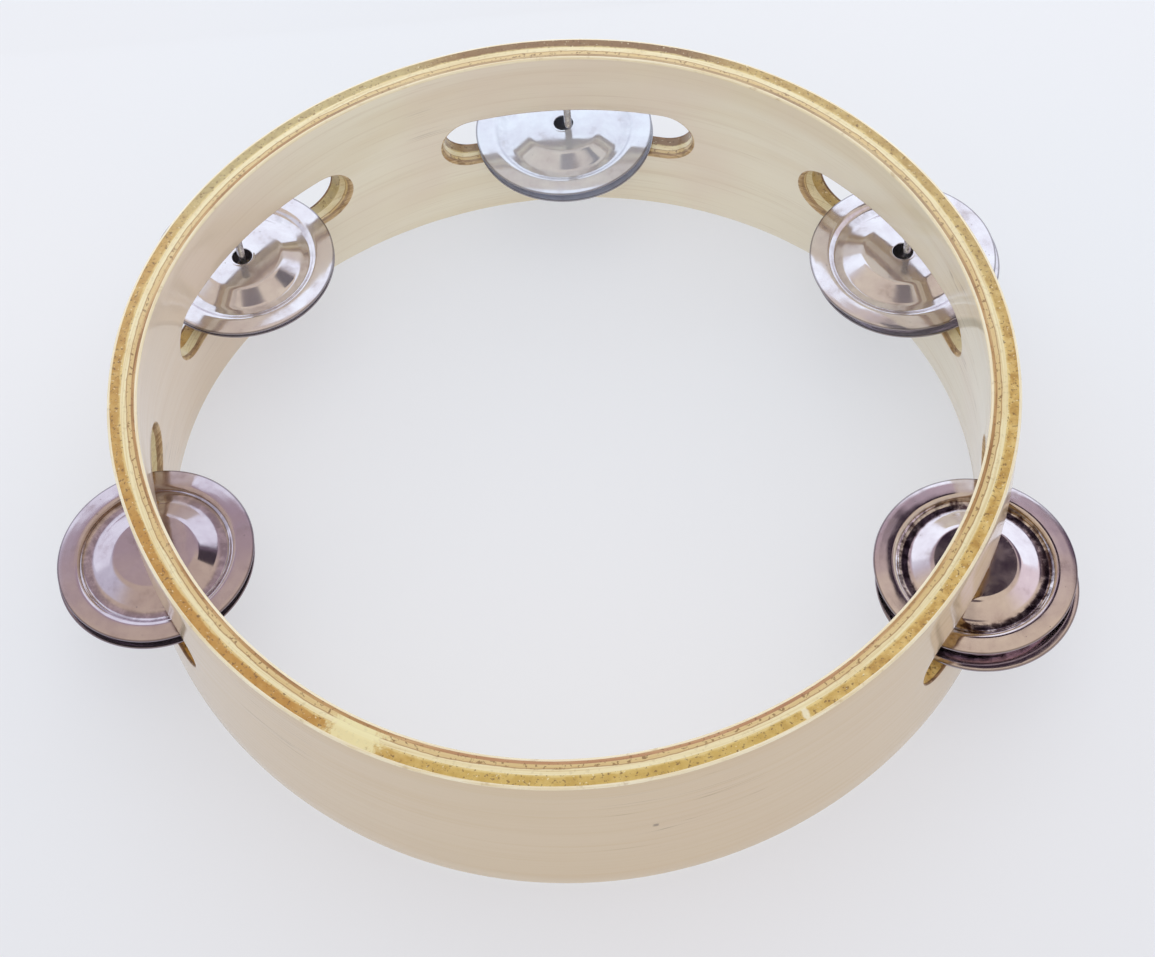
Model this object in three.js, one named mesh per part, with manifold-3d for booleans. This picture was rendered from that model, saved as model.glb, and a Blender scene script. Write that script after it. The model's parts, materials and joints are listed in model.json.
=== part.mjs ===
// Headless wooden tambourine: a bent five-ply hoop with five slots, each slot crossed by a steel
// pin that carries two loose jingles laid back to back.
//
// Millimetres, +Z up. The hoop stands on its lower edge at z = 0, and its plain grip stretch
// faces -Y. The origin is at the middle of the footprint of the whole instrument.

import * as THREE from 'three';
import { mergeVertices } from 'three/addons/utils/BufferGeometryUtils.js';
import Module from 'manifold-3d';

const wasm = await Module();
wasm.setup();

const degrees = Math.PI / 180;

// ---------------------------------------------------------------- hoop dimensions

const hoopRadius = 101.6;
const hoopHeight = 53;
const hoopSegments = 72;
const wallRows = 3;
const edgeEase = 0.5;
const glueLine = 0.12;

// A bent hoop springs slightly out of round: each term adds amplitude * cos(waves * (angle - peak)).
const outOfRound = [
  { waves: 2, amplitude: 0.5, peak: 135 * degrees },
  { waves: 3, amplitude: 0.65, peak: 270 * degrees },
  { waves: 4, amplitude: 0.35, peak: 256 * degrees },
];

// The lower edge has also spread sideways and drawn in at the grip. These terms count in full
// there and fade to nothing at the upper edge.
const lowerSpread = [
  { waves: 0, amplitude: 0.5, peak: 0 },
  { waves: 1, amplitude: 1, peak: 64 * degrees },
  { waves: 2, amplitude: 1.6, peak: -3 * degrees },
];

// The plies from the outside in. Eased plies have their edges rubbed back, so they stop just
// short of the hoop's two edges.
const plies = [
  { name: 'ply_outer_veneer', thickness: 0.6, eased: true, material: 'face_veneer' },
  { name: 'ply_outer_core', thickness: 2.3, eased: false, material: 'golden_core' },
  { name: 'ply_middle_core', thickness: 2.2, eased: false, material: 'pale_core' },
  { name: 'ply_inner_crossband', thickness: 0.6, eased: true, material: 'brown_crossband' },
  { name: 'ply_inner_veneer', thickness: 0.6, eased: true, material: 'face_veneer' },
];
const wallThickness = plies.reduce((sum, ply) => sum + ply.thickness, 0) + glueLine * (plies.length - 1);

// ---------------------------------------------------------------- slots, pins and jingles

const slotLength = 64;
const slotHeight = 15.4;
const slotMiddle = 26.4;
const slotEndSegments = 6;
const slotFloor = slotMiddle - slotHeight / 2;

const pinRadius = 0.95;
const pinTip = hoopHeight - 6;
const pinPoint = 1.2;
const pinHeadRadius = 1.6;
const pinHeadHeight = 0.7;
const pinHeadRecess = 0.4;
const pinHoleClearance = 0.3;
const pinSegments = 12;

const jingleRadius = 22.8;
const jingleHole = 2.7;
const jingleSegments = 24;
const sheet = 0.45;
const lipRise = 0.1;
const plateauRise = 1.2;
const plateauRadius = 0.43 * jingleRadius;
const valleyDepth = 1.1;
const valleyInner = 0.635 * jingleRadius;
const valleyOuter = 0.745 * jingleRadius;
const flangeInner = 0.795 * jingleRadius;
const flangeDrop = 0.3;
const restGap = 0.3;

// Each pair of jingles: its slot's angle round the hoop, the way the pair leans outward as it
// rests on the slot's floor, and how far each loose jingle has slid on its pin, in millimetres
// outward and anticlockwise along the slot.
const stations = [
  { name: 'right_front', angle: 334.3, lean: 1.5, upper: { out: -0.7, along: 1.3 }, lower: { out: 0.7, along: -1.3 } },
  { name: 'right_back', angle: 28.8, lean: -1, upper: { out: -0.9, along: 0.4 }, lower: { out: -0.2, along: -0.5 } },
  { name: 'back', angle: 86.2, lean: 0, upper: { out: 0.9, along: 1.2 }, lower: { out: 0.7, along: 0.9 } },
  { name: 'left_back', angle: 140.9, lean: -1, upper: { out: -0.5, along: 0.3 }, lower: { out: 0.2, along: -0.3 } },
  { name: 'left_front', angle: 192.7, lean: 1.5, upper: { out: 0.3, along: 0.2 }, lower: { out: 0.6, along: 0.5 } },
];

// ---------------------------------------------------------------- materials

function paint(color, roughness, metalness) {
  return new THREE.MeshStandardMaterial({ color, roughness, metalness });
}

const materials = {
  face_veneer: paint(0xdccaa6, 0.3, 0),
  golden_core: paint(0xb8924e, 0.45, 0),
  pale_core: paint(0xdfc98c, 0.45, 0),
  brown_crossband: paint(0x9c6c38, 0.5, 0),
  pin_steel: paint(0x8e8e92, 0.3, 1),
  jingle_steel: paint(0xbab8be, 0.15, 1),
};

// ---------------------------------------------------------------- solids

function toSolid(geometry) {
  const bare = geometry.clone();
  bare.deleteAttribute('normal');
  bare.deleteAttribute('uv');
  const merged = mergeVertices(bare, 1e-4);
  return new wasm.Manifold(new wasm.Mesh({
    numProp: 3,
    vertProperties: new Float32Array(merged.attributes.position.array),
    triVerts: new Uint32Array(merged.index.array),
  }));
}

function toGeometry(solid) {
  const mesh = solid.getMesh();
  const geometry = new THREE.BufferGeometry();
  geometry.setAttribute('position', new THREE.BufferAttribute(new Float32Array(mesh.vertProperties), 3));
  geometry.setIndex(new THREE.BufferAttribute(new Uint32Array(mesh.triVerts), 1));
  geometry.computeVertexNormals();
  return geometry;
}

// A lathe turns about Y, so each turned piece is then stood up along Z.
function turned(profile, segments) {
  const points = profile.map(([radius, height]) => new THREE.Vector2(radius, height));
  return new THREE.LatheGeometry(points, segments).rotateX(90 * degrees);
}

// ---------------------------------------------------------------- hoop

function sumOfWaves(terms, angle) {
  return terms.reduce((sum, { waves, amplitude, peak }) => (
    sum + amplitude * Math.cos(waves * (angle - peak))
  ), 0);
}

// How far the hoop stands out of round at this angle and height.
function springOut(angle, height) {
  const lowness = 1 - height / hoopHeight;
  return sumOfWaves(outOfRound, angle) + lowness * sumOfWaves(lowerSpread, angle);
}

// The point in the base plane straight under mid-wall at the slots' middle height.
function wallMiddle(angle) {
  const radius = hoopRadius - wallThickness / 2 + springOut(angle, slotMiddle);
  return new THREE.Vector3(radius * Math.cos(angle), radius * Math.sin(angle), 0);
}

// Moves every point of a round ring in or out by the hoop's out-of-round there.
function bend(geometry) {
  const position = geometry.attributes.position;
  for (let i = 0; i < position.count; i += 1) {
    const angle = Math.atan2(position.getY(i), position.getX(i));
    const spring = springOut(angle, position.getZ(i));
    const radius = Math.hypot(position.getX(i), position.getY(i)) + spring;
    position.setX(i, radius * Math.cos(angle));
    position.setY(i, radius * Math.sin(angle));
  }
  return geometry;
}

function plyRing(innerRadius, outerRadius, eased) {
  const low = eased ? edgeEase : 0;
  const high = hoopHeight - low;
  const rows = Array.from({ length: wallRows + 1 }, (_, row) => low + ((high - low) * row) / wallRows);
  const rising = rows.map((height) => [outerRadius, height]);
  const falling = rows.map((height) => [innerRadius, height]).reverse();
  return toSolid(bend(turned([...rising, ...falling, rising[0]], hoopSegments)));
}

// A round-ended cutter that passes right through the wall, square to it at the slot's middle.
function slotCutter(angle) {
  const straight = (slotLength - slotHeight) / 2;
  const outline = new THREE.Shape();
  outline.absarc(straight, 0, slotHeight / 2, -90 * degrees, 90 * degrees, false);
  outline.absarc(-straight, 0, slotHeight / 2, 90 * degrees, 270 * degrees, false);
  const depth = 5 * wallThickness;
  const cutter = new THREE.ExtrudeGeometry(outline, {
    depth,
    bevelEnabled: false,
    curveSegments: slotEndSegments,
  });
  cutter.translate(0, 0, -depth / 2);
  cutter.rotateX(90 * degrees);
  cutter.rotateZ(angle + 90 * degrees);
  const middle = wallMiddle(angle);
  cutter.translate(middle.x, middle.y, slotMiddle);
  return toSolid(cutter);
}

// ---------------------------------------------------------------- pins

// A pin is driven up through the wall from the hoop's lower edge. Its small head sits just inside.
function pinGeometry() {
  const headTop = pinHeadRecess + pinHeadHeight;
  const profile = [
    [0, pinHeadRecess],
    [pinHeadRadius, pinHeadRecess],
    [pinHeadRadius, headTop],
    [pinRadius, headTop],
    [pinRadius, pinTip - pinPoint],
    [0, pinTip],
  ];
  return turned(profile, pinSegments);
}

// The stepped hole that takes a pin, open at the hoop's lower edge.
function pinHole(angle) {
  const shank = pinRadius + pinHoleClearance;
  const head = pinHeadRadius + pinHoleClearance;
  const headTop = pinHeadRecess + pinHeadHeight + pinHoleClearance;
  const tip = pinTip + pinHoleClearance;
  const profile = [[0, -1], [head, -1], [head, headTop], [shank, headTop], [shank, tip], [0, tip]];
  const hole = turned(profile, pinSegments);
  const middle = wallMiddle(angle);
  hole.translate(middle.x, middle.y, 0);
  return toSolid(hole);
}

// ---------------------------------------------------------------- jingles

// One pressed disc, its flange's inner edge at z = 0 and its plateau upward. The sheet's middle line
// runs from the hole's lip to the rim, and the section is that line with the sheet's thickness.
function jingleGeometry() {
  const line = [
    [jingleHole, plateauRise + lipRise],
    [plateauRadius, plateauRise],
    [valleyInner, -valleyDepth],
    [valleyOuter, -valleyDepth],
    [flangeInner, 0],
    [jingleRadius, -flangeDrop],
  ];
  const bottom = line.map(([radius, height]) => [radius, height - sheet / 2]);
  const top = line.map(([radius, height]) => [radius, height + sheet / 2]).reverse();
  return turned([...bottom, ...top, bottom[0]], jingleSegments);
}

// Heights of the two flanges above the hoop's base: the lower jingle lies plateau down on the
// slot's floor, and the upper one lies valley to valley on the lower one's back.
function flangeHeights(lean) {
  const leanLift = plateauRadius * Math.sin(Math.abs(lean) * degrees);
  const lower = slotFloor + restGap + plateauRise + lipRise + sheet / 2 + leanLift;
  const upper = lower + 2 * valleyDepth + sheet + restGap;
  return { lower, upper };
}

function placeJingle(station, level) {
  const angle = station.angle * degrees;
  const slide = station[level];
  const jingle = new THREE.Mesh(jingleGeometry(), materials.jingle_steel);
  jingle.name = `jingle_${station.name}_${level}`;
  jingle.rotation.x = level === 'lower' ? 180 * degrees : 0;

  const rest = new THREE.Group();
  rest.add(jingle);
  rest.rotation.y = station.lean * degrees;
  rest.position.set(slide.out, slide.along, flangeHeights(station.lean)[level]);

  const slot = new THREE.Group();
  slot.add(rest);
  slot.position.copy(wallMiddle(angle));
  slot.rotation.z = angle;
  return slot;
}

// ---------------------------------------------------------------- assembly

const model = new THREE.Group();

let outerRadius = hoopRadius;
for (const ply of plies) {
  let solid = plyRing(outerRadius - ply.thickness, outerRadius, ply.eased);
  for (const station of stations) {
    solid = solid.subtract(slotCutter(station.angle * degrees));
    solid = solid.subtract(pinHole(station.angle * degrees));
  }
  const mesh = new THREE.Mesh(toGeometry(solid), materials[ply.material]);
  mesh.name = ply.name;
  model.add(mesh);
  outerRadius -= ply.thickness + glueLine;
}

for (const station of stations) {
  const pin = new THREE.Mesh(pinGeometry(), materials.pin_steel);
  pin.name = `pin_${station.name}`;
  pin.position.copy(wallMiddle(station.angle * degrees));
  model.add(pin);
  model.add(placeJingle(station, 'lower'));
  model.add(placeJingle(station, 'upper'));
}

// The jingles reach past the hoop everywhere but at the grip, so the footprint's middle lies
// behind the hoop's centre. The whole model moves to put the origin there.
const footprint = new THREE.Box3().setFromObject(model, true).getCenter(new THREE.Vector3());
model.position.set(-footprint.x, -footprint.y, 0);

export default model;
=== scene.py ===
import json
import math

import bmesh
import bpy
from mathutils import Matrix, Vector, noise


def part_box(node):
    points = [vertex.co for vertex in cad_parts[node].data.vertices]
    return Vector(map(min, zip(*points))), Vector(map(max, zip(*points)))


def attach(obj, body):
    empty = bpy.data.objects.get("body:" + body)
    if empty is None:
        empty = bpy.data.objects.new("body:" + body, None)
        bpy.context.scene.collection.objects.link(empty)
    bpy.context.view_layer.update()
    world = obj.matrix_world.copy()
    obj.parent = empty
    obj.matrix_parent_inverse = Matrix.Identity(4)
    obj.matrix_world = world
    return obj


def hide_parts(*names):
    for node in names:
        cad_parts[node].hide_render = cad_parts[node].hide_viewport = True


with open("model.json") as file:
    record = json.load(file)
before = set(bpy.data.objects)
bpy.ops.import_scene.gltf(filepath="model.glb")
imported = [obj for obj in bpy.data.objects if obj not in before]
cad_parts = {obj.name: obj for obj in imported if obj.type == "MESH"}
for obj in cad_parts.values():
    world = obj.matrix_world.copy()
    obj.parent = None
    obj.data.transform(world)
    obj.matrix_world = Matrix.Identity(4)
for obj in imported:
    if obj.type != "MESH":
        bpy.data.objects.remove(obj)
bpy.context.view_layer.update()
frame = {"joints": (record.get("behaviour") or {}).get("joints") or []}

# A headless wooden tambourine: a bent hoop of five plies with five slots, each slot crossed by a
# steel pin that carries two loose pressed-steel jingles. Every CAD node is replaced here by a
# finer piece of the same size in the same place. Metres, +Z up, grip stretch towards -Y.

# ---------------------------------------------------------------- sizes, as in the CAD

MM = 0.001
HOOP_RADIUS = 101.6 * MM
HOOP_HEIGHT = 53 * MM
GLUE_LINE = 0.12 * MM
# The hoop's out-of-round, as waves round it, amplitude, and the angle of its first crest.
OUT_OF_ROUND = [(2, 0.5 * MM, 135), (3, 0.65 * MM, 270), (4, 0.35 * MM, 256)]
# The same for what the lower edge adds. It fades to nothing at the upper edge.
LOWER_SPREAD = [(0, 0.5 * MM, 0), (1, 1 * MM, 64), (2, 1.6 * MM, -3)]
# The plies from the outside in, each with its thickness.
PLIES = [
    ("ply_outer_veneer", 0.6 * MM),
    ("ply_outer_core", 2.3 * MM),
    ("ply_middle_core", 2.2 * MM),
    ("ply_inner_crossband", 0.6 * MM),
    ("ply_inner_veneer", 0.6 * MM),
]
WALL = sum(thickness for _, thickness in PLIES) + GLUE_LINE * (len(PLIES) - 1)

SLOT_LENGTH = 64 * MM
SLOT_HEIGHT = 15.4 * MM
SLOT_MIDDLE = 26.4 * MM
# Each slot's angle round the hoop, anticlockwise from +X.
SLOTS = {"right_back": 28.8, "back": 86.2, "left_back": 140.9, "left_front": 192.7, "right_front": 334.3}

PIN_RADIUS = 0.95 * MM
PIN_TIP = HOOP_HEIGHT - 6 * MM
PIN_POINT = 1.2 * MM
PIN_HEAD_RADIUS = 1.6 * MM
PIN_HEAD_LOW = 0.4 * MM
PIN_HEAD_HIGH = 1.1 * MM

JINGLE_RADIUS = 22.8 * MM
JINGLE_HOLE = 2.7 * MM
SHEET = 0.45 * MM
LIP_RISE = 0.1 * MM
PLATEAU_RISE = 1.2 * MM
PLATEAU_RADIUS = 0.43 * JINGLE_RADIUS
VALLEY_DEPTH = 1.1 * MM
VALLEY_INNER = 0.635 * JINGLE_RADIUS
VALLEY_OUTER = 0.745 * JINGLE_RADIUS
FLANGE_INNER = 0.795 * JINGLE_RADIUS
FLANGE_DROP = 0.3 * MM
REST_GAP = 0.3 * MM

# ---------------------------------------------------------------- sizes of the finer surface

RIM_EASE = 0.5 * MM
SLOT_EASE = 0.35 * MM
EASE_STEPS = 4
ARC_STEPS = 10
STRAIGHT_STEPS = 22
GAP_DEGREES = 2.0
FACE_ROWS = 5
RIM_ROWS = 3
RIM_WEAR = 0.06 * MM
HOLE_CLEARANCE = 0.05 * MM
PIN_SEGMENTS = 32
JINGLE_SEGMENTS = 128
PLATEAU_BEND = 3 * MM
GROOVE_BEND = 1.8 * MM
FLANGE_BEND = 2 * MM
SHARP_DEGREES = 35
MERGE = 1e-6


def sum_of_waves(terms, angle):
    """What the waves of OUT_OF_ROUND or LOWER_SPREAD add up to at an angle of the hoop."""
    return sum(size * math.cos(waves * (angle - math.radians(crest))) for waves, size, crest in terms)


def spring_out(angle, height):
    """How far the hoop stands out of round at this angle and height."""
    lowness = 1 - height / HOOP_HEIGHT
    return sum_of_waves(OUT_OF_ROUND, angle) + lowness * sum_of_waves(LOWER_SPREAD, angle)


def wall_middle(angle):
    """From the hoop's centre to the middle of its wall, at the slots' height."""
    radius = HOOP_RADIUS - WALL / 2 + spring_out(angle, SLOT_MIDDLE)
    return Vector((radius * math.cos(angle), radius * math.sin(angle), 0))


def box_middle(node):
    """The middle of a CAD node's box."""
    low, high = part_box(node)
    return (low + high) / 2


pin_middle = box_middle("pin_back")
CENTRE = Vector((pin_middle.x, pin_middle.y, 0)) - wall_middle(math.radians(SLOTS["back"]))
JOINTS = {joint["child"]: joint for joint in frame["joints"]}

# ---------------------------------------------------------------- camera

# Focal length over the picture's width.
FOCAL = 2200 / 1155
SENSOR = 36
ELEVATION = math.radians(57)
ROLL = math.radians(-4.5)
DISTANCE = 4.834 * HOOP_RADIUS
SIDEWAYS = 0.0174 * HOOP_RADIUS
UPWARDS = -0.2425 * HOOP_RADIUS


def make_camera():
    """Looks down at the hoop from the grip side, from close by and slightly rolled."""
    data = bpy.data.cameras.new("camera")
    data.sensor_width = SENSOR
    data.lens = FOCAL * SENSOR
    data.clip_start = 0.01
    camera = bpy.data.objects.new("camera", data)
    bpy.context.scene.collection.objects.link(camera)
    back = Vector((0, -math.cos(ELEVATION), math.sin(ELEVATION)))
    right = Vector((1, 0, 0))
    up = Vector((0, math.sin(ELEVATION), math.cos(ELEVATION)))
    place = CENTRE + Vector((0, 0, HOOP_HEIGHT)) + back * DISTANCE + right * SIDEWAYS + up * UPWARDS
    side = math.cos(ROLL) * right + math.sin(ROLL) * up
    top = math.cos(ROLL) * up - math.sin(ROLL) * right
    camera.matrix_world = Matrix((
        (side.x, top.x, back.x, place.x),
        (side.y, top.y, back.y, place.y),
        (side.z, top.z, back.z, place.z),
        (0, 0, 0, 1),
    ))
    bpy.context.scene.camera = camera


# ---------------------------------------------------------------- shader nodes


def srgb(red, green, blue):
    """A colour of 0 to 255 per channel as the linear colour that shaders take."""
    def linear(value):
        value /= 255
        return value / 12.92 if value <= 0.04045 else ((value + 0.055) / 1.055) ** 2.4
    return (linear(red), linear(green), linear(blue), 1)


class Graph:
    """A short way to add and link shader nodes. Each call gives back the new node's socket."""

    def __init__(self, tree):
        self.tree = tree
        tree.nodes.clear()

    def feed(self, socket, value):
        if isinstance(value, bpy.types.NodeSocket):
            self.tree.links.new(value, socket)
        else:
            socket.default_value = value

    def node(self, kind, inputs=None, **settings):
        node = self.tree.nodes.new("ShaderNode" + kind)
        for name, value in settings.items():
            setattr(node, name, value)
        for name, value in (inputs or {}).items():
            self.feed(node.inputs[name], value)
        return node

    def math(self, operation, first, second=0.0, clamp=False):
        return self.node("Math", {0: first, 1: second}, operation=operation, use_clamp=clamp).outputs[0]

    def vector(self, operation, first, second=(0, 0, 0)):
        node = self.node("VectorMath", {0: first, 1: second}, operation=operation)
        return node.outputs["Value" if operation in ("LENGTH", "DISTANCE", "DOT_PRODUCT") else "Vector"]

    def split(self, vector):
        return self.node("SeparateXYZ", {0: vector}).outputs

    def join(self, x, y, z):
        return self.node("CombineXYZ", {0: x, 1: y, 2: z}).outputs[0]

    def noise(self, place, scale, detail=2.0, roughness=0.5, distortion=0.0):
        inputs = {"Vector": place, "Scale": scale, "Detail": detail}
        inputs.update({"Roughness": roughness, "Distortion": distortion})
        return self.node("TexNoise", inputs).outputs["Fac"]

    def cells(self, place, scale, feature="F1"):
        return self.node("TexVoronoi", {"Vector": place, "Scale": scale}, feature=feature).outputs["Distance"]

    def between(self, value, low, high, out_low=0.0, out_high=1.0):
        """Maps low..high to out_low..out_high with soft ends, held outside."""
        inputs = {"Value": value, "From Min": low, "From Max": high, "To Min": out_low, "To Max": out_high}
        return self.node("MapRange", inputs, interpolation_type="SMOOTHSTEP").outputs[0]

    def mix(self, share, first, second, blend="MIX"):
        node = self.node("Mix", data_type="RGBA", blend_type=blend)
        self.feed(node.inputs[0], share)
        self.feed(node.inputs[6], first)
        self.feed(node.inputs[7], second)
        return node.outputs[2]

    def ramp(self, value, stops):
        node = self.node("ValToRGB", {0: value})
        while len(node.color_ramp.elements) < len(stops):
            node.color_ramp.elements.new(0.5)
        for element, (position, colour) in zip(node.color_ramp.elements, stops):
            element.position = position
            element.color = colour
        return node.outputs[0]

    def bump(self, height, strength, distance):
        inputs = {"Strength": strength, "Distance": distance, "Height": height}
        return self.node("Bump", inputs).outputs[0]


def new_material(name):
    """A material with a Principled shader: the material, its graph and the shader's inputs."""
    material = bpy.data.materials.new(name)
    material.use_nodes = True
    graph = Graph(material.node_tree)
    output = graph.node("OutputMaterial")
    shader = graph.node("BsdfPrincipled")
    material.node_tree.links.new(shader.outputs[0], output.inputs[0])
    return material, graph, shader.inputs


def hoop_place(graph):
    """Object coordinates measured from the hoop's centre, and the distance from its axis."""
    place = graph.vector("SUBTRACT", graph.node("TexCoord").outputs["Object"], tuple(CENTRE))
    x, y, z = graph.split(place)
    radius = graph.vector("LENGTH", graph.join(x, y, 0.0))
    return place, radius, (x, y, z)


def wall_depth(graph, parts, radius):
    """Depth in the wall from its outer face, on the upper rim, where only OUT_OF_ROUND counts."""
    angle = graph.math("ARCTAN2", parts[1], parts[0])
    outer = HOOP_RADIUS
    for waves, size, crest in OUT_OF_ROUND:
        turn = graph.math("SUBTRACT", graph.math("MULTIPLY", angle, waves), waves * math.radians(crest))
        outer = graph.math("ADD", outer, graph.math("MULTIPLY", graph.math("COSINE", turn), size))
    return graph.math("SUBTRACT", outer, radius)


def wandering_depth(graph, place, parts, radius, scale, reach):
    """Depth in the wall, moved in and out by up to half of reach, so that colours end raggedly."""
    sway = graph.math("SUBTRACT", graph.noise(place, scale, 3.0, 0.6), 0.5)
    return graph.math("ADD", wall_depth(graph, parts, radius), graph.math("MULTIPLY", sway, reach))


def near_azimuth(graph, place, degrees, full, none, ragged=0.0):
    """1 within full degrees of an azimuth of the hoop, fading to 0 at none degrees from it."""
    azimuth = math.radians(degrees)
    level = graph.vector("NORMALIZE", graph.vector("MULTIPLY", place, (1, 1, 0)))
    facing = graph.vector("DOT_PRODUCT", level, (math.cos(azimuth), math.sin(azimuth), 0))
    away = graph.math("ARCCOSINE", graph.math("MINIMUM", facing, 1.0))
    if ragged:
        tear = graph.math("SUBTRACT", graph.noise(place, 900.0, 3.0, 0.6), 0.5)
        away = graph.math("ADD", away, graph.math("MULTIPLY", tear, math.radians(ragged)))
    return graph.between(away, math.radians(full), math.radians(none), 1.0, 0.0)


def along_grain(graph, parts, radius, along, across):
    """Coordinates that change slowly round the hoop and quickly across it, per metre."""
    x, y, z = parts
    depth = graph.math("ADD", z, radius)
    return graph.join(
        graph.math("MULTIPLY", x, along),
        graph.math("MULTIPLY", y, along),
        graph.math("MULTIPLY", depth, across),
    )


def lacquer(inputs, weight, roughness):
    """A clear coat over the wood."""
    inputs["Coat Weight"].default_value = weight
    inputs["Coat Roughness"].default_value = roughness
    inputs["Coat IOR"].default_value = 1.5
    inputs["IOR"].default_value = 1.48


# ---------------------------------------------------------------- wood

# Depth in the wall of the thin brown line on the middle core's rim.
BROWN_LINE_DEPTH = 4.45 * MM
# Azimuths, in degrees, of the scarf joint and the fine seam on the rim, and of the nick on the
# outer wall with its height.
SCARF_AZIMUTH = 241.5
SEAM_AZIMUTH = 296
NICK_AZIMUTH = 277
NICK_HEIGHT = 29 * MM


def veneer_material():
    """Pale birch face veneer: fine grain round the hoop, soft figure, rare dark hairlines."""
    material, graph, inputs = new_material("face_veneer")
    place, radius, parts = hoop_place(graph)
    fine = graph.noise(along_grain(graph, parts, radius, 14, 900), 1.0, 4.0, 0.6, 0.25)
    pores = graph.noise(along_grain(graph, parts, radius, 60, 3200), 1.0, 2.0, 0.5)
    broad = graph.noise(along_grain(graph, parts, radius, 5, 60), 1.0, 3.0, 0.55, 0.6)
    cloud = graph.noise(place, 14.0, 3.0, 0.55)
    colour = graph.ramp(broad, [
        (0.30, srgb(242, 234, 213)),
        (0.50, srgb(238, 229, 205)),
        (0.68, srgb(230, 216, 186)),
    ])
    streak = graph.between(fine, 0.50, 0.78)
    colour = graph.mix(graph.math("MULTIPLY", streak, 0.24), colour, srgb(190, 162, 122))
    colour = graph.mix(graph.between(pores, 0.60, 0.78, 0.0, 0.20), colour, srgb(172, 140, 98))
    colour = graph.mix(graph.between(cloud, 0.50, 0.70, 0.0, 0.5), colour, srgb(228, 208, 190))
    colour = graph.mix(graph.between(cloud, 0.32, 0.48, 0.32, 0.0), colour, srgb(220, 214, 184))
    rosy = graph.math("MULTIPLY", near_azimuth(graph, place, 178, 25, 60), 0.6)
    colour = graph.mix(rosy, colour, srgb(226, 200, 178))
    outside = graph.between(radius, HOOP_RADIUS - 4.4 * MM, HOOP_RADIUS - 3.4 * MM)
    colour = graph.mix(graph.math("MULTIPLY", outside, 0.8), colour, srgb(206, 178, 136))
    hair_place = along_grain(graph, parts, radius, 9, 420)
    hairline = graph.noise(graph.vector("ADD", hair_place, (4.2, 1.7, 8.3)), 1.0, 1.0, 0.4, 0.3)
    lines = graph.between(graph.math("ABSOLUTE", graph.math("SUBTRACT", hairline, 0.5)), 0.0, 0.010, 1.0, 0.0)
    patches = graph.between(graph.noise(place, 24.0, 1.0), 0.58, 0.66)
    marked = graph.math("MULTIPLY", graph.math("MULTIPLY", lines, patches), 0.55)
    colour = graph.mix(marked, colour, srgb(132, 106, 76))
    off_level = graph.math("ABSOLUTE", graph.math("SUBTRACT", parts[2], NICK_HEIGHT))
    nick = graph.math("MULTIPLY", graph.between(off_level, 0.2 * MM, 1.0 * MM, 1.0, 0.0), outside)
    nick = graph.math("MULTIPLY", nick, near_azimuth(graph, place, NICK_AZIMUTH, 0.15, 0.5, 0.7))
    colour = graph.mix(graph.math("MULTIPLY", nick, 0.7), colour, srgb(88, 66, 48))
    graph.feed(inputs["Base Color"], colour)
    graph.feed(inputs["Roughness"], graph.between(fine, 0.3, 0.8, 0.34, 0.52))
    relief = graph.math("ADD", fine, graph.math("MULTIPLY", pores, 0.6))
    graph.feed(inputs["Normal"], graph.bump(relief, 0.15, 0.03 * MM))
    ripple = graph.noise(place, 60.0, 1.0)
    graph.feed(inputs["Coat Normal"], graph.bump(ripple, 0.2, 0.12 * MM))
    lacquer(inputs, 0.85, 0.09)
    return material


def veneer_edge_material():
    """The thin pale line that a face veneer shows on the rim, rubbed and a little dirty."""
    material, graph, inputs = new_material("veneer_edge")
    place, radius, parts = hoop_place(graph)
    fibre = graph.noise(along_grain(graph, parts, radius, 60, 5000), 1.0, 3.0, 0.6)
    grime_and_shade = graph.noise(place, 300.0, 4.0, 0.65)
    colour = graph.ramp(fibre, [(0.35, srgb(246, 236, 208)), (0.66, srgb(232, 212, 168))])
    colour = graph.mix(graph.between(grime_and_shade, 0.58, 0.74, 0.0, 0.45), colour, srgb(176, 142, 92))
    graph.feed(inputs["Base Color"], colour)
    graph.feed(inputs["Roughness"], graph.between(grime_and_shade, 0.3, 0.7, 0.26, 0.44))
    graph.feed(inputs["Normal"], graph.bump(graph.math("ADD", fibre, grime_and_shade), 0.25, 0.04 * MM))
    lacquer(inputs, 1.0, 0.1)
    return material


def scarf_patch(graph, place):
    """Where the strip's ends overlap: pale, ragged at both sides."""
    return graph.math("MULTIPLY", near_azimuth(graph, place, SCARF_AZIMUTH, 2.0, 4.2, 6.0), 0.85)


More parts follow.
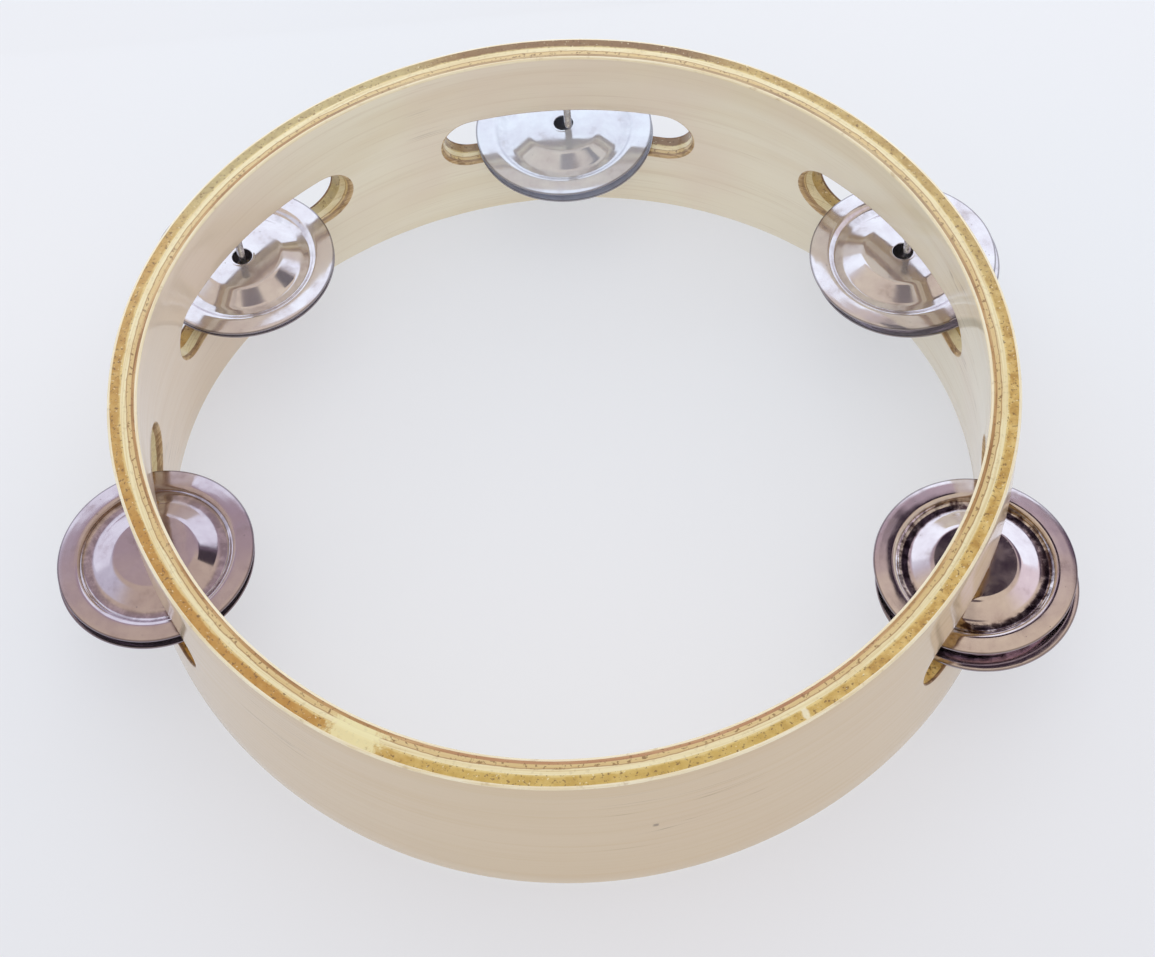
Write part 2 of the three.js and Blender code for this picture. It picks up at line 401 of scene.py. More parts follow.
def golden_core_material():
    """End grain of the outer core ply: golden, finely pitted, brown at the back, olive beside it."""
    material, graph, inputs = new_material("golden_core")
    place, radius, parts = hoop_place(graph)
    speckle = graph.noise(place, 1150.0, 3.0, 0.65)
    blotch = graph.noise(place, 420.0, 3.0, 0.6)
    colour = graph.ramp(blotch, [
        (0.34, srgb(222, 190, 118)),
        (0.50, srgb(206, 168, 92)),
        (0.66, srgb(182, 140, 66)),
    ])
    # Stretches with another tone: azimuth, half-width in full and until it ends, share and tone.
    for degrees, full, none, share, tone in (
        (218, 14, 40, 0.70, srgb(182, 126, 44)),
        (172, 12, 34, 0.45, srgb(186, 140, 70)),
        (272, 14, 40, 0.55, srgb(202, 172, 84)),
        (40, 24, 48, 0.50, srgb(172, 148, 88)),
        (126, 16, 30, 0.62, srgb(176, 166, 122)),
        (84, 13, 28, 0.88, srgb(122, 86, 52)),
    ):
        share = graph.math("MULTIPLY", near_azimuth(graph, place, degrees, full, none), share)
        colour = graph.mix(share, colour, tone)
    depth = wandering_depth(graph, place, parts, radius, 260.0, 1.4 * MM)
    colour = graph.mix(graph.between(depth, 2.5 * MM, 3.0 * MM, 0.0, 0.65), colour, srgb(236, 214, 150))
    pits = graph.between(speckle, 0.57, 0.64)
    colour = graph.mix(graph.math("MULTIPLY", pits, 0.75), colour, srgb(112, 80, 40))
    flecks = graph.between(graph.noise(place, 1300.0, 2.0, 0.5), 0.66, 0.72)
    colour = graph.mix(graph.math("MULTIPLY", flecks, 0.6), colour, srgb(242, 230, 190))
    colour = graph.mix(scarf_patch(graph, place), colour, srgb(238, 226, 172))
    seam = near_azimuth(graph, place, SEAM_AZIMUTH, 0.2, 0.6, 0.8)
    colour = graph.mix(graph.math("MULTIPLY", seam, 0.7), colour, srgb(246, 240, 214))
    graph.feed(inputs["Base Color"], colour)
    graph.feed(inputs["Roughness"], graph.between(speckle, 0.35, 0.65, 0.3, 0.5))
    graph.feed(inputs["Normal"], graph.bump(graph.math("SUBTRACT", blotch, pits), 0.35, 0.07 * MM))
    lacquer(inputs, 0.8, 0.13)
    return material


def pale_core_material():
    """Long grain of the middle core ply: pale cream, with a thin brown line near its inner side."""
    material, graph, inputs = new_material("pale_core")
    place, radius, parts = hoop_place(graph)
    fibre = graph.noise(along_grain(graph, parts, radius, 30, 2600), 1.0, 4.0, 0.6, 0.2)
    broad = graph.noise(place, 90.0, 3.0, 0.55)
    colour = graph.ramp(fibre, [
        (0.34, srgb(242, 230, 190)),
        (0.52, srgb(234, 218, 172)),
        (0.72, srgb(214, 188, 136)),
    ])
    colour = graph.mix(graph.between(broad, 0.54, 0.70, 0.0, 0.3), colour, srgb(222, 190, 126))
    depth = wandering_depth(graph, place, parts, radius, 120.0, 1.0 * MM)
    colour = graph.mix(graph.between(depth, 4.4 * MM, 4.75 * MM, 0.0, 0.6), colour, srgb(206, 168, 98))
    offset = graph.math("ABSOLUTE", graph.math("SUBTRACT", depth, BROWN_LINE_DEPTH))
    line = graph.between(offset, 0.06 * MM, 0.20 * MM, 0.75, 0.0)
    colour = graph.mix(line, colour, srgb(164, 116, 58))
    pits = graph.between(graph.noise(place, 1100.0, 3.0, 0.6), 0.57, 0.64)
    pits = graph.math("MULTIPLY", pits, graph.between(depth, 4.2 * MM, 4.7 * MM, 0.15, 0.8))
    colour = graph.mix(pits, colour, srgb(128, 92, 50))
    colour = graph.mix(scarf_patch(graph, place), colour, srgb(240, 230, 178))
    graph.feed(inputs["Base Color"], colour)
    graph.feed(inputs["Roughness"], graph.between(fibre, 0.3, 0.7, 0.26, 0.42))
    graph.feed(inputs["Normal"], graph.bump(graph.math("SUBTRACT", fibre, pits), 0.3, 0.05 * MM))
    lacquer(inputs, 0.9, 0.11)
    return material


def crossband_material():
    """The brown crossband and its dark glue, broken where the sanding has smeared it."""
    material, graph, inputs = new_material("brown_crossband")
    place, radius, parts = hoop_place(graph)
    breaks = graph.noise(along_grain(graph, parts, radius, 45, 700), 1.0, 3.0, 0.6)
    speckle = graph.noise(place, 1150.0, 3.0, 0.7)
    colour = graph.ramp(breaks, [
        (0.34, srgb(216, 184, 132)),
        (0.50, srgb(184, 142, 90)),
        (0.66, srgb(148, 104, 60)),
    ])
    front = graph.math("MULTIPLY", near_azimuth(graph, place, 278, 16, 40), 0.6)
    colour = graph.mix(front, colour, srgb(188, 136, 104))
    greyed = graph.math("MULTIPLY", near_azimuth(graph, place, 70, 40, 70), 0.45)
    colour = graph.mix(greyed, colour, srgb(176, 160, 128))
    colour = graph.mix(graph.between(speckle, 0.57, 0.66, 0.0, 0.6), colour, srgb(112, 78, 44))
    graph.feed(inputs["Base Color"], colour)
    graph.feed(inputs["Roughness"], graph.between(speckle, 0.35, 0.65, 0.34, 0.5))
    graph.feed(inputs["Normal"], graph.bump(speckle, 0.3, 0.05 * MM))
    lacquer(inputs, 0.7, 0.14)
    return material


def cut_material(name, pale, dark, scorch):
    """A ply's face inside the slots, as the router left it: streaked, with browned patches."""
    material, graph, inputs = new_material(name)
    place, radius, parts = hoop_place(graph)
    fibre = graph.noise(along_grain(graph, parts, radius, 90, 1500), 1.0, 4.0, 0.65)
    chatter = graph.noise(place, 420.0, 3.0, 0.6)
    colour = graph.mix(graph.between(fibre, 0.38, 0.66), pale, dark)
    burnt = graph.between(chatter, 0.48, 0.68)
    colour = graph.mix(graph.math("MULTIPLY", burnt, scorch), colour, srgb(92, 62, 34))
    graph.feed(inputs["Base Color"], colour)
    graph.feed(inputs["Roughness"], graph.between(chatter, 0.3, 0.7, 0.45, 0.65))
    graph.feed(inputs["Normal"], graph.bump(graph.math("ADD", fibre, chatter), 0.5, 0.1 * MM))
    lacquer(inputs, 0.4, 0.2)
    return material


# ---------------------------------------------------------------- metal


def pin_material():
    """Drawn steel wire: bright, with fine lines along it and a little dull soiling."""
    material, graph, inputs = new_material("pin_steel")
    place = graph.node("TexCoord").outputs["Object"]
    drawn = graph.noise(graph.vector("MULTIPLY", place, (9000, 9000, 160)), 1.0, 2.0, 0.5)
    soil = graph.noise(place, 700.0, 3.0, 0.6)
    colour = graph.ramp(soil, [(0.40, srgb(212, 212, 216)), (0.70, srgb(150, 146, 146))])
    graph.feed(inputs["Base Color"], colour)
    inputs["Metallic"].default_value = 1.0
    graph.feed(inputs["Roughness"], graph.between(soil, 0.35, 0.7, 0.16, 0.36))
    graph.feed(inputs["Normal"], graph.bump(drawn, 0.15, 0.01 * MM))
    return material


def jingle_material(seed, tint, frost, grime_and_shade):
    """Nickel-plated pressed steel, finely scratched and tarnished to a tint, or frosted by wear, with painted
    shade, over some tarnish, in its groove and along its rolled rim.
    """
    material, graph, inputs = new_material(f"jingle_steel_{seed}")
    place = graph.node("TexCoord").outputs["Object"]
    x, y, _ = graph.split(place)
    radius = graph.vector("LENGTH", graph.join(x, y, 0.0))
    moved = graph.vector("ADD", place, (0.31 * seed, -0.17 * seed, 0.23 * seed))
    haze = graph.noise(moved, 150.0, 4.0, 0.6)
    colour = graph.ramp(haze, [
        (0.36, srgb(252, 251, 255)),
        (0.58, srgb(240, 236, 242)),
        (0.76, srgb(208, 198, 200)),
    ])
    colour = graph.mix(1.0, colour, tint, "MULTIPLY")
    # The groove between plateau and flange is darkened to violet in ragged patches: painted shade over some
    # tarnish.
    edges = graph.math("MULTIPLY",
                       graph.between(radius, VALLEY_INNER - 0.2 * MM, VALLEY_INNER + 0.7 * MM),
                       graph.between(radius, FLANGE_INNER - 1.0 * MM, FLANGE_INNER + 0.1 * MM, 1.0, 0.0))
    ragged = graph.between(graph.noise(moved, 420.0, 4.0, 0.65), 0.36, 0.60)
    groove_tarnish_and_shade = graph.math("MULTIPLY", edges, graph.math("MULTIPLY", ragged, grime_and_shade))
    colour = graph.mix(groove_tarnish_and_shade, colour, srgb(78, 58, 70))
    # A dark ring just inside the rim: painted shade where the rolled edge turns down.
    rim_edge_shade = graph.between(radius, JINGLE_RADIUS - 0.55 * MM, JINGLE_RADIUS - 0.25 * MM, 0.0, 0.6)
    colour = graph.mix(rim_edge_shade, colour, srgb(70, 60, 70))
    spots = graph.between(graph.cells(moved, 650.0), 0.05, 0.13, 1.0, 0.0)
    rare = graph.between(graph.noise(moved, 330.0, 1.0), 0.60, 0.66)
    specks = graph.math("MULTIPLY", spots, rare)
    colour = graph.mix(graph.math("MULTIPLY", specks, 0.8), colour, srgb(70, 58, 56))
    graph.feed(inputs["Base Color"], colour)
    inputs["Metallic"].default_value = 1 - frost
    rough = graph.between(haze, 0.35, 0.75, 0.08, 0.20)
    rough = graph.math("ADD", rough, graph.math("MULTIPLY", specks, 0.4))
    graph.feed(inputs["Roughness"], rough)
    angle = graph.math("ARCTAN2", y, x)
    turning = graph.join(graph.math("MULTIPLY", angle, 3.0), graph.math("MULTIPLY", radius, 9000.0), 0.0)
    scratches = graph.noise(turning, 1.0, 2.0, 0.6)
    wobble = graph.noise(moved, 110.0, 2.0, 0.5)
    relief = graph.math("ADD", graph.math("MULTIPLY", scratches, 0.03), wobble)
    graph.feed(inputs["Normal"], graph.bump(relief, 0.35, 0.10 * MM))
    return material


# ---------------------------------------------------------------- mesh helpers


def smooth_with_sharp_edges(mesh):
    """Shades a bmesh smooth but for the edges that turn more sharply than a rounding does."""
    for face in mesh.faces:
        face.smooth = True
    limit = math.radians(SHARP_DEGREES)
    for edge in mesh.edges:
        edge.smooth = not edge.is_manifold or edge.calc_face_angle(0) < limit


def to_object(name, mesh, materials):
    """An object of the scene made from a bmesh, which is freed."""
    data = bpy.data.meshes.new(name)
    smooth_with_sharp_edges(mesh)
    mesh.to_mesh(data)
    mesh.free()
    for material in materials:
        data.materials.append(material)
    piece = bpy.data.objects.new(name, data)
    bpy.context.scene.collection.objects.link(piece)
    return piece


def lathe(profile, segments):
    """A bmesh turned about Z from a closed profile, or one that starts and ends on the axis."""
    mesh = bmesh.new()
    rings = []
    for radius, height in profile:
        if radius < MERGE:
            rings.append([mesh.verts.new((0, 0, height))] * segments)
            continue
        turns = [2 * math.pi * i / segments for i in range(segments)]
        rings.append([mesh.verts.new((radius * math.cos(a), radius * math.sin(a), height)) for a in turns])
    open_profile = profile[0][0] < MERGE
    count = len(rings) - 1 if open_profile else len(rings)
    for k in range(count):
        lower, upper = rings[k], rings[(k + 1) % len(rings)]
        for i in range(segments):
            j = (i + 1) % segments
            corners = []
            for vertex in (lower[i], lower[j], upper[j], upper[i]):
                if vertex not in corners:
                    corners.append(vertex)
            if len(corners) > 2:
                mesh.faces.new(corners)
    return mesh


def arc(centre, radius, start, end, steps):
    """Points of an arc, angles in degrees."""
    angles = [math.radians(start + (end - start) * i / steps) for i in range(steps + 1)]
    return [(centre[0] + radius * math.cos(a), centre[1] + radius * math.sin(a)) for a in angles]


def rounded(points, radii, steps=6):
    """An open line of (radius, height) points with its inner corners rounded."""
    line = [Vector(points[0])]
    for before, corner, after, radius in zip(points, points[1:], points[2:], radii):
        corner = Vector(corner)
        back = (Vector(before) - corner).normalized()
        ahead = (Vector(after) - corner).normalized()
        half = back.angle(ahead) / 2
        reach = radius / math.tan(half)
        middle = corner + (back + ahead).normalized() * (radius / math.sin(half))
        first = corner + back * reach - middle
        last = corner + ahead * reach - middle
        turn = first.angle_signed(last)
        for i in range(steps + 1):
            step = first.copy()
            step.rotate(Matrix.Rotation(-turn * i / steps, 2))
            line.append(middle + step)
    line.append(Vector(points[-1]))
    return line


# ---------------------------------------------------------------- hoop


def slot_columns(radius, ease):
    """Angle and half-height of every column round the hoop, for slots widened by ease.

    Columns follow each slot's round end, its straight stretch and its other end, and then cross
    the plain wall to the next slot, where the half-height is 0.
    """
    straight = (SLOT_LENGTH - SLOT_HEIGHT) / 2
    end = SLOT_HEIGHT / 2 + ease
    outline = []
    for i in range(ARC_STEPS):
        turn = math.pi / 2 * i / ARC_STEPS
        outline.append((-straight - end * math.cos(turn), end * math.sin(turn)))
    for i in range(STRAIGHT_STEPS + 1):
        outline.append((-straight + 2 * straight * i / STRAIGHT_STEPS, end))
    outline += [(-across, height) for across, height in reversed(outline[:ARC_STEPS])]
    slots = []
    for degrees in SLOTS.values():
        middle = math.radians(degrees)
        columns = []
        for across, height in outline:
            near = middle + math.asin(across / radius)
            columns.append((middle + math.asin(across / (radius + spring_out(near, SLOT_MIDDLE))), height))
        slots.append(columns)
    columns = []
    for k, slot in enumerate(slots):
        columns += slot
        start = slot[-1][0]
        stop = slots[(k + 1) % len(slots)][0][0]
        stop += 2 * math.pi if stop < start else 0
        steps = GAP_STEPS[k]
        columns += [(start + (stop - start) * i / steps, 0.0) for i in range(1, steps)]
    return columns


def gap_steps():
    """How many steps the plain wall after each slot is divided into."""
    half_slot = math.degrees(math.asin(SLOT_LENGTH / 2 / HOOP_RADIUS))
    angles = list(SLOTS.values())
    steps = []
    for k, angle in enumerate(angles):
        following = angles[(k + 1) % len(angles)]
        gap = (following - angle) % 360 - 2 * half_slot
        steps.append(round(gap / GAP_DEGREES))
    return steps


GAP_STEPS = gap_steps()
SLOT_COLUMNS = 2 * ARC_STEPS + STRAIGHT_STEPS + 1


def column_in_slot():
    """For every column, whether the wall between it and the next one is cut by a slot."""
    flags = []
    for steps in GAP_STEPS:
        flags += [True] * (SLOT_COLUMNS - 1) + [False] * steps
    return flags


FACE, RIM, CUT = range(3)


def half_section(outer, inner, rim_out, rim_in, slot_out, slot_in):
    """One ply's section between the hoop's edge and a slot, as a closed loop of rings.

    A ring is its radius, its height above the hoop's edge, how far it widens the slots, its share
    of the way from the edge to the slot, and the kind of surface that follows it.
    """
    quarter = [math.pi / 2 * i / EASE_STEPS for i in range(EASE_STEPS + 1)]
    rings = []
    if rim_out:
        for turn in quarter[:-1]:
            sink, drop = rim_out * (1 - math.sin(turn)), rim_out * (1 - math.cos(turn))
            rings.append((outer - sink, drop, slot_out, 0, RIM))
    rows = [i / FACE_ROWS for i in range(FACE_ROWS + 1)]
    rings += [(outer, rim_out, slot_out, row, FACE) for row in rows[:-1]]
    if slot_out:
        for turn in quarter:
            sink, spread = slot_out * (1 - math.cos(turn)), slot_out * (1 - math.sin(turn))
            rings.append((outer - sink, 0, spread, 1, CUT))
    else:
        rings.append((outer, 0, 0, 1, CUT))
    if slot_in:
        for turn in reversed(quarter):
            sink, spread = slot_in * (1 - math.cos(turn)), slot_in * (1 - math.sin(turn))
            rings.append((inner + sink, 0, spread, 1, CUT))
    else:
        rings.append((inner, 0, 0, 1, CUT))
    rings[-1] = rings[-1][:4] + (FACE,)
    rings += [(inner, rim_in, slot_in, row, FACE) for row in reversed(rows[1:-1])]
    if rim_in:
        for turn in reversed(quarter[1:]):
            sink, drop = rim_in * (1 - math.sin(turn)), rim_in * (1 - math.cos(turn))
            rings.append((inner + sink, drop, slot_in, 0, RIM))
    low, high = inner + rim_in, outer - rim_out
    for i in range(RIM_ROWS):
        rings.append((low + (high - low) * i / RIM_ROWS, 0, slot_in, 0, RIM))
    return rings


def rim_wear(angle, radius):
    """How far the sanded rim has been rubbed down here."""
    place = Vector((math.cos(angle), math.sin(angle), 0)) * (radius * 90)
    broad = noise.noise(place * 0.4 + Vector((3.1, 0, 7.7)))
    fine = noise.noise(place * 2.2 + Vector((9.3, 5.5, 0)))
    return RIM_WEAR * min(1, max(0, 0.5 + 0.6 * broad + 0.4 * fine))


def ply_piece(name, outer, inner, eases, materials):
    """One ply as a closed ring with the slots cut through it."""
    rings = half_section(outer, inner, *eases)
    in_slot = column_in_slot()
    mesh = bmesh.new()
    known = {}
    placed = {}

    def columns(radius, ease):
        key = (round(radius / MERGE), round(ease / MERGE))
        if key not in placed:
            placed[key] = slot_columns(radius, ease)
        return placed[key]

    def vertex(top, k, i):
        if (top, k, i) not in known:
            radius, lift, ease, share, _ = rings[k]
            angle, half_height = columns(radius, ease)[i]
            rim = lift + (rim_wear(angle, radius) if share < 1 / FACE_ROWS else 0) * (1 - share)
            slot = SLOT_MIDDLE - half_height
            if top:
                rim, slot = HOOP_HEIGHT - rim, SLOT_MIDDLE + half_height
            height = rim + (slot - rim) * share
            reach = radius + spring_out(angle, height)
            known[top, k, i] = mesh.verts.new((
                CENTRE.x + reach * math.cos(angle), CENTRE.y + reach * math.sin(angle), height))
        return known[top, k, i]

    for top in (False, True):
        for k, (_, _, _, share, kind) in enumerate(rings):
            following = (k + 1) % len(rings)
            cut = share == 1 and rings[following][3] == 1
            for i, slotted in enumerate(in_slot):
                if cut and not slotted:
                    continue
                j = (i + 1) % len(in_slot)
                corners = [
                    vertex(top, k, i), vertex(top, k, j),
                    vertex(top, following, j), vertex(top, following, i),
                ]
                if top:
                    corners.reverse()
                face = mesh.faces.new(corners)
                face.material_index = kind
    bmesh.ops.remove_doubles(mesh, verts=mesh.verts, dist=MERGE)
    return to_object(name, mesh, materials)


def pin_profile(clearance, low):
    """The pin's outline from its head to its point, or its hole's with some clearance."""
    head = PIN_HEAD_RADIUS + clearance
    shank = PIN_RADIUS + clearance
    head_top = PIN_HEAD_HIGH + clearance
    return [
        (0, low), (head, low), (head, head_top), (shank, head_top),
        (shank, PIN_TIP - PIN_POINT + clearance), (0, PIN_TIP + clearance),
    ]


def cut_pin_holes(piece):
    """Bores the pins' holes, with their countersunk heads, up from the hoop's lower edge."""
    cutters = bmesh.new()
    for name in SLOTS:
        middle = box_middle(f"pin_{name}")
        hole = lathe(pin_profile(HOLE_CLEARANCE, -2 * MM), PIN_SEGMENTS)
        bmesh.ops.translate(hole, verts=hole.verts, vec=(middle.x, middle.y, 0))
        spare = bpy.data.meshes.new("hole")
        hole.to_mesh(spare)
        hole.free()
        cutters.from_mesh(spare)
        bpy.data.meshes.remove(spare)
    for face in cutters.faces:
        face.material_index = CUT
    cutter = to_object("pin_holes", cutters, [])
    cut = piece.modifiers.new("pin_holes", "BOOLEAN")
    cut.operation = "DIFFERENCE"
    cut.solver = "MANIFOLD"
    cut.object = cutter
    settled = bpy.data.meshes.new_from_object(piece.evaluated_get(bpy.context.evaluated_depsgraph_get()))
    piece.modifiers.clear()
    old = piece.data
    looks = list(old.materials)
    settled.materials.clear()
    for material in looks:
        settled.materials.append(material)
    piece.data = settled
    bpy.data.meshes.remove(old)
    bpy.data.objects.remove(cutter)
    mesh = bmesh.new()
    mesh.from_mesh(settled)
    smooth_with_sharp_edges(mesh)
    mesh.to_mesh(settled)
    mesh.free()


def make_hoop():
    """One laminate for each ply. Neighbours meet at the middle of the glue line between them."""
    face = veneer_material()
    edge = veneer_edge_material()
    golden = golden_core_material()
    pale = pale_core_material()
    brown = crossband_material()
    outer_cut = cut_material("outer_veneer_cut", srgb(150, 112, 70), srgb(104, 70, 38), 0.6)
    core_cut = cut_material("outer_core_cut", srgb(206, 182, 144), srgb(166, 134, 94), 0.45)
    middle_cut = cut_material("middle_core_cut", srgb(220, 202, 168), srgb(188, 160, 120), 0.35)
    band_cut = cut_material("crossband_cut", srgb(190, 160, 122), srgb(150, 116, 78), 0.5)
    inner_cut = cut_material("inner_veneer_cut", srgb(214, 186, 142), srgb(170, 132, 86), 0.45)
    looks = {
        "ply_outer_veneer": ([face, edge, outer_cut], (RIM_EASE, 0, SLOT_EASE, 0), "face_veneer"),
        "ply_outer_core": ([golden, golden, core_cut], (0, 0, 0, 0), "golden_core"),
        "ply_middle_core": ([pale, pale, middle_cut], (0, 0, 0, 0), "pale_core"),
        "ply_inner_crossband": ([brown, brown, band_cut], (0, 0, 0, 0), "brown_crossband"),
        "ply_inner_veneer": ([face, edge, inner_cut], (0, RIM_EASE, 0, SLOT_EASE), "face_veneer"),
    }
    outer = HOOP_RADIUS
    for index, (node, thickness) in enumerate(PLIES):
        materials, eases, slot = looks[node]
        inner = outer - thickness
        high = outer if index == 0 else outer + GLUE_LINE / 2
        low = inner if index == len(PLIES) - 1 else inner - GLUE_LINE / 2
        piece = ply_piece(node.replace("ply_", "laminate_"), high, low, eases, materials)
        if node.endswith("_core"):
            cut_pin_holes(piece)
        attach(piece, "hoop")
        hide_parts(node)
        outer = inner - GLUE_LINE


def make_pins():
    """A nail in each slot: its head near the lower edge, a plain shank and a rounded point."""
    steel = pin_material()
    for name in SLOTS:
        profile = pin_profile(0, PIN_HEAD_LOW)
        dome = arc((0, 0), PIN_RADIUS, 0, 90, 6)
        point = [(r, PIN_TIP - PIN_POINT + h * PIN_POINT / PIN_RADIUS) for r, h in dome[:-1]]
        outline = profile[:4] + point + [(0, PIN_TIP)]
        middle = box_middle(f"pin_{name}")
        piece = to_object(f"nail_{name}", lathe(outline, PIN_SEGMENTS), [steel])
        piece.location = (middle.x, middle.y, 0)
        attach(piece, "hoop")
        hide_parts(f"pin_{name}")


# ---------------------------------------------------------------- jingles


def jingle_profile():
    """The pressed sheet's section: its middle line, rounded at every bend, given its thickness."""
    line = rounded(
        [
            (JINGLE_HOLE, PLATEAU_RISE + LIP_RISE),
            (JINGLE_HOLE + 0.45 * MM, PLATEAU_RISE),
            (PLATEAU_RADIUS, PLATEAU_RISE),
            (VALLEY_INNER, -VALLEY_DEPTH),
            (VALLEY_OUTER, -VALLEY_DEPTH),
            (FLANGE_INNER, 0),
            (JINGLE_RADIUS - SHEET / 2, -FLANGE_DROP),
        ],
        [0.3 * MM, PLATEAU_BEND, PLATEAU_BEND, GROOVE_BEND, FLANGE_BEND],
    )
    thick = SHEET / 2
    above, below = [], []
    for k, point in enumerate(line):
        along = (line[min(k + 1, len(line) - 1)] - line[max(k - 1, 0)]).normalized()
        across = Vector((-along.y, along.x)) * thick
        above.append(point + across)
        below.append(point - across)
    rim = [tuple(p) for p in arc(tuple(line[-1]), thick, -90, 90, 8)][1:-1]
    spacing = 3
    flange = [below[-2].lerp(below[-1], i / spacing) for i in range(1, spacing)]
    flange_top = [above[-1].lerp(above[-2], i / spacing) for i in range(1, spacing)]
    lip = [tuple(p) for p in arc(tuple(line[0]), thick, 90, 270, 6)][1:-1]
    outline = below[:-1] + flange + below[-1:] + rim + above[-1:] + flange_top + above[:-1][::-1] + lip
    return [tuple(p) for p in outline]


# How far years of shaking have bent each disc: as a saddle, in broad lumps and in small dents.
SADDLE = 0.05 * MM
LUMPS = 0.07 * MM
DENTS = 0.018 * MM


def dish(mesh, seed):
    """Bends the disc a little, in a way that depends on its seed."""
    for vertex in mesh.verts:
        x, y = vertex.co.x, vertex.co.y
        radius = math.hypot(x, y) / JINGLE_RADIUS
        angle = math.atan2(y, x)
        saddle = math.cos(2 * angle + seed * 1.9)
        lumps = noise.noise(Vector((x, y, seed * 0.07)) * 95)
        dents = noise.noise(Vector((x, y, seed * 0.11 + 3)) * 330)
        vertex.co.z += SADDLE * saddle * radius ** 2 + LUMPS * lumps * radius + DENTS * dents


# Each pair's tint, how far wear has frosted it, and how strongly its groove is darkened: painted shade over
# some tarnish.
JINGLE_LOOKS = {
    "right_back": (srgb(240, 238, 240), 0.16, 0.15),
    "back": (srgb(236, 242, 248), 0.40, 0.10),
    "left_back": (srgb(240, 238, 240), 0.18, 0.15),
    "left_front": (srgb(214, 204, 210), 0.04, 0.35),
    "right_front": (srgb(240, 233, 234), 0.0, 0.95),
}


def lean_of_jingle(axis, upside_down, turn):
    """Turns a disc on its pin and stands its plateau along axis, or against it."""
    tilt = Vector((0, 0, 1)).rotation_difference(axis).to_matrix().to_4x4()
    flip = Matrix.Rotation(math.pi, 4, "X") if upside_down else Matrix.Identity(4)
    return tilt @ flip @ Matrix.Rotation(turn, 4, "Z")


def make_jingles():
    """Two pressed discs on each pin, back to back, each bent and turned in its own way."""
    spacing = 2 * VALLEY_DEPTH + SHEET + REST_GAP
    profile = jingle_profile()
    seed = 0
    for name in SLOTS:
        spin = JOINTS[f"jingle_{name}_lower"]
        axis = Vector(spin["axis"])
        low_centre = Vector(spin["pos_m"])
        high_middle = box_middle(f"jingle_{name}_upper")
        high_centre = Vector((high_middle.x, high_middle.y, low_centre.z + spacing))
        for level, centre in (("lower", low_centre), ("upper", high_centre)):
            seed += 1
            mesh = lathe(profile, JINGLE_SEGMENTS)
            dish(mesh, seed)
            lean = lean_of_jingle(axis, level == "lower", seed * 2.4)
            bmesh.ops.transform(mesh, matrix=lean, verts=mesh.verts)
            piece = to_object(f"disc_{name}_{level}", mesh, [jingle_material(seed, *JINGLE_LOOKS[name])])
            piece.location = centre
            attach(piece, f"jingle_{name}_{level}")
            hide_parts(f"jingle_{name}_{level}")


# ---------------------------------------------------------------- floor and light


FLOOR_SHARE_OF_BLACK = 0.60
FLOOR_GLOW = 0.55


def make_floor():
    """Pale paper that glows a little by itself, which keeps the shadows on it faint."""
    material, graph, inputs = new_material("floor_paper")
    place = graph.node("TexCoord").outputs["Object"]
    cloud = graph.noise(place, 3.0, 2.0)
    colour = graph.ramp(cloud, [(0.3, srgb(234, 237, 243)), (0.7, srgb(238, 238, 242))])
    graph.feed(inputs["Base Color"], graph.mix(FLOOR_SHARE_OF_BLACK, colour, srgb(0, 0, 0)))
    graph.feed(inputs["Emission Color"], colour)
    inputs["Emission Strength"].default_value = FLOOR_GLOW
    inputs["Roughness"].default_value = 0.7
    mesh = bmesh.new()
    bmesh.ops.create_grid(mesh, x_segments=8, y_segments=8, size=3)
    floor = to_object("floor", mesh, [material])


def area_light(name, place, target, size, radiance, colour):
    """A soft rectangular lamp, unseen in reflections. Its power follows from its brightness and size."""
    data = bpy.data.lights.new(name, "AREA")
    data.shape = "RECTANGLE"
    data.size, data.size_y = size
    data.energy = radiance * math.pi * size[0] * size[1]
    data.color = colour[:3]
    lamp = bpy.data.objects.new(name, data)
    bpy.context.scene.collection.objects.link(lamp)
    place = Vector(place)
    aim = Vector(target) - place
    lamp.matrix_world = Matrix.Translation(place) @ aim.to_track_quat("-Z", "Y").to_matrix().to_4x4()
    lamp.visible_camera = False
    lamp.visible_glossy = False


def glossy_card(name, corners, colour, radiance):
    """A plain card that shows only in reflections: it lights and shades nothing else."""
    material = bpy.data.materials.new(name)
    material.use_nodes = True
    graph = Graph(material.node_tree)
    glow = graph.node("Emission", {"Color": colour, "Strength": radiance})
    graph.node("OutputMaterial", {"Surface": glow.outputs[0]})
    mesh = bmesh.new()
    mesh.faces.new([mesh.verts.new(CENTRE + Vector(corner)) for corner in corners])
    card = to_object(name, mesh, [material])
    card.visible_camera = False
    card.visible_diffuse = False
    card.visible_shadow = False
    card.visible_transmission = False
    card.visible_volume_scatter = False


def make_cards():
    """A white card stands close behind the hoop, and a dark one hangs to its right."""
    high, behind, half = 0.245, 0.164, 0.65
    glossy_card("white_card", [
        (-half, behind, 0.001), (half, behind, 0.001), (half, behind, high), (-half, behind, high),
    ], srgb(236, 243, 252), 1.25)
    left, right, near, far, level = 0.098, 0.198, 0.080, 0.180, 0.324
    glossy_card("dark_card", [
        (left, near, level), (right, near, level), (right, far, level), (left, far, level),
    ], srgb(52, 40, 52), 1.0)


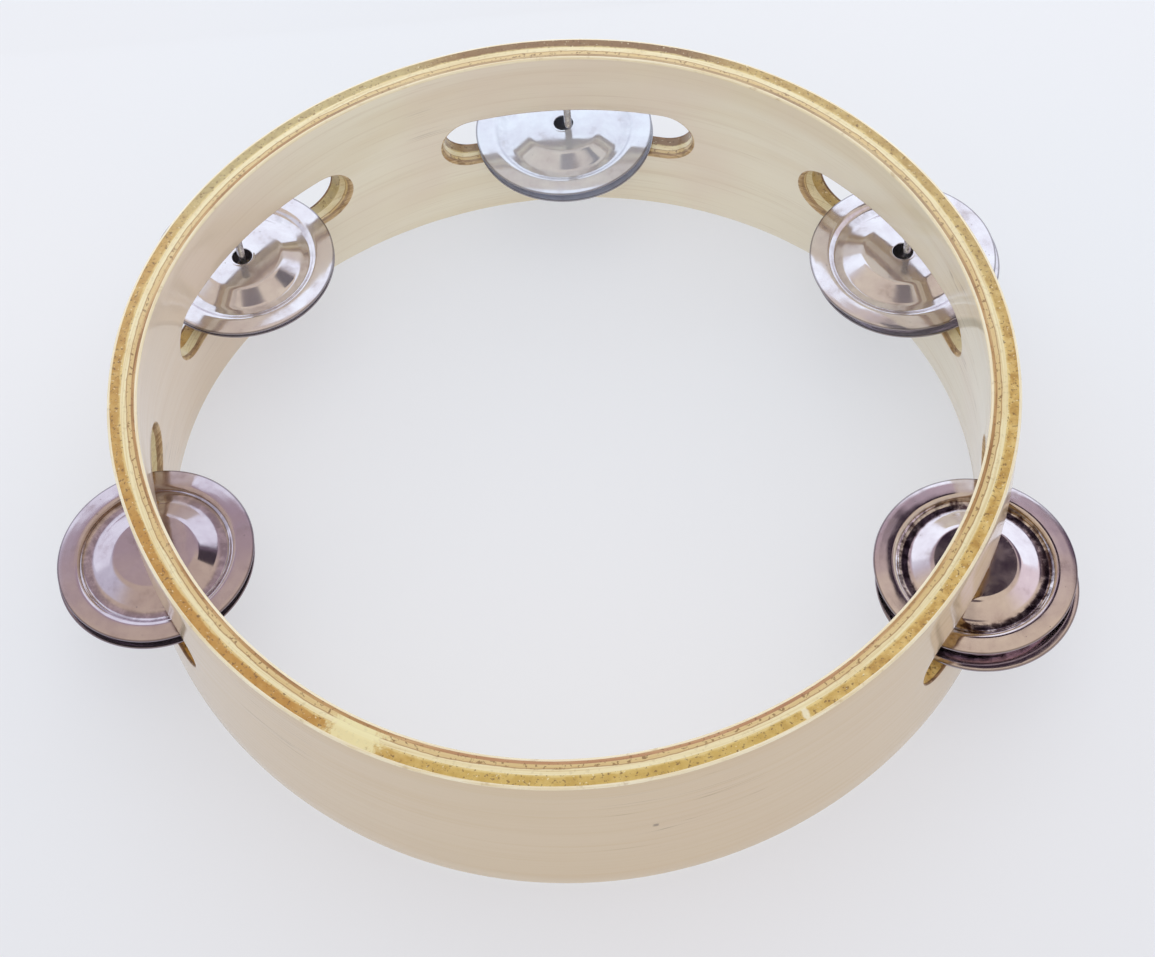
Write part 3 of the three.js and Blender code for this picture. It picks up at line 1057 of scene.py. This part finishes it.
def make_lights():
    """Three soft lamps: overhead, in front and behind."""
    middle = (0, 0, 0.03)
    area_light("overhead", (0.1, 0.1, 1.3), middle, (1.8, 1.8), 0.55, (1, 1, 1))
    area_light("front_fill", (0, -1.2, 0.9), middle, (1.6, 1.0), 0.60, (1, 0.98, 0.97))
    area_light("back_card", (0, 0.42, 0.25), (0, 0, 0.25), (1.3, 0.5), 1.0, (0.90, 0.95, 1.0))


def make_world():
    """A pale room: white low down, mauve and beige overhead, with two dark soft patches."""
    world = bpy.data.worlds.new("room")
    bpy.context.scene.world = world
    world.use_nodes = True
    graph = Graph(world.node_tree)
    direction = graph.node("TexCoord").outputs["Generated"]
    x, y, z = graph.split(direction)
    height = graph.math("MAXIMUM", z, 0.05)
    across, away = graph.math("DIVIDE", x, height), graph.math("DIVIDE", y, height)
    rise = graph.between(z, 0.60, 0.82)
    low = graph.mix(graph.between(x, -0.6, 0.6), srgb(226, 230, 242), srgb(240, 228, 232))
    high = graph.mix(graph.between(away, 0.35, 0.75), srgb(214, 198, 176), srgb(178, 160, 170))
    colour = graph.mix(rise, low, high)

    def patch(left, back, radius, tone, strength):
        spot = graph.vector("DISTANCE", graph.join(across, away, 0.0), (left, back, 0))
        return graph.mix(graph.between(spot, radius * 0.7, radius * 1.25, strength, 0.0), colour, tone)

    colour = patch(0.80, 0.78, 0.34, srgb(78, 58, 80), 0.9)
    colour = patch(0.04, -0.22, 0.17, srgb(72, 58, 66), 0.9)
    backdrop = graph.node("Background", {"Color": srgb(232, 234, 240), "Strength": 1.0})
    room = graph.node("Background", {"Color": colour, "Strength": 1.0})
    tent = graph.node("Background", {"Color": srgb(246, 248, 252), "Strength": 0.62})
    path = graph.node("LightPath").outputs
    lit = graph.node("MixShader", {0: path["Is Diffuse Ray"], 1: room.outputs[0], 2: tent.outputs[0]})
    mixed = graph.node("MixShader", {0: path["Is Camera Ray"], 1: lit.outputs[0], 2: backdrop.outputs[0]})
    graph.node("OutputWorld", {"Surface": mixed.outputs[0]})


make_camera()
make_hoop()
make_pins()
make_jingles()
make_floor()
make_cards()
make_lights()
make_world()
bpy.context.scene.view_settings.view_transform = "Standard"
